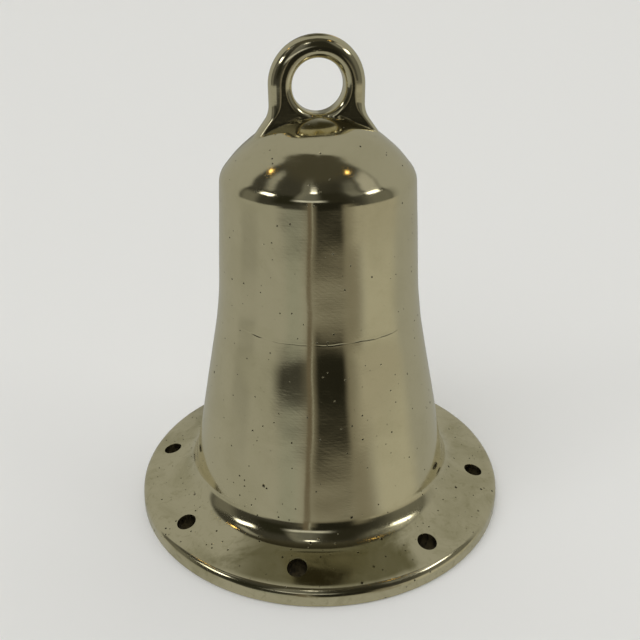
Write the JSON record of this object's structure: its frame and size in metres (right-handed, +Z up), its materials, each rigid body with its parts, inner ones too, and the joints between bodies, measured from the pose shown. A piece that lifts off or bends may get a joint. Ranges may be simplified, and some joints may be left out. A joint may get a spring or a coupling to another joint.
{
  "type": "ship bell",
  "caption": "Flanged cast brass bell with a crown eye to hang it by, bolt holes round the mouth flange, and a swinging clapper inside.",
  "frame": {"origin": "on the bell's axis, in the plane of the mouth that it stands on", "axes": "+Z up along the bell's axis, from the mouth to the crown eye; the eye's bore runs along Y; the clapper's hinge pin runs along X"},
  "size_m": [0.2, 0.2, 0.2432],
  "materials": {
    "cast_brass": "polished, with casting pits",
    "cast_brass_ball": "turned, tarnished",
    "forged_bronze": "forged, dull",
    "bush_bronze": "machined",
    "bronze_washer": "machined",
    "brass_nut": "machined",
    "split_pin_brass": "drawn wire",
    "spring_steel": "oiled",
    "steel_nut": "machined, slightly dull",
    "steel_pin": "ground"
  },
  "bodies": {
    "bell": {"bell_casting": "cast_brass", "hanger_clevis": "forged_bronze", "hanger_lock_washer": "spring_steel", "hanger_lock_nut": "steel_nut", "hinge_pin": "steel_pin", "hinge_thrust_washers": "bronze_washer", "hinge_end_washer": "bronze_washer", "hinge_split_pin": "split_pin_brass"},
    "clapper": {"clapper_shank": "forged_bronze", "clapper_bush": "bush_bronze", "clapper_ball": "cast_brass_ball", "ball_washer": "bronze_washer", "ball_lock_nut": "brass_nut", "lanyard_eye": "forged_bronze"}
  },
  "joints": [
    {"name": "clapper_swing", "type": "hinge", "parent": "bell", "child": "clapper", "pos_m": [0, 0, 0.162], "axis": [1, 0, 0], "range_deg": [-18.8, 18.8]}
  ]
}
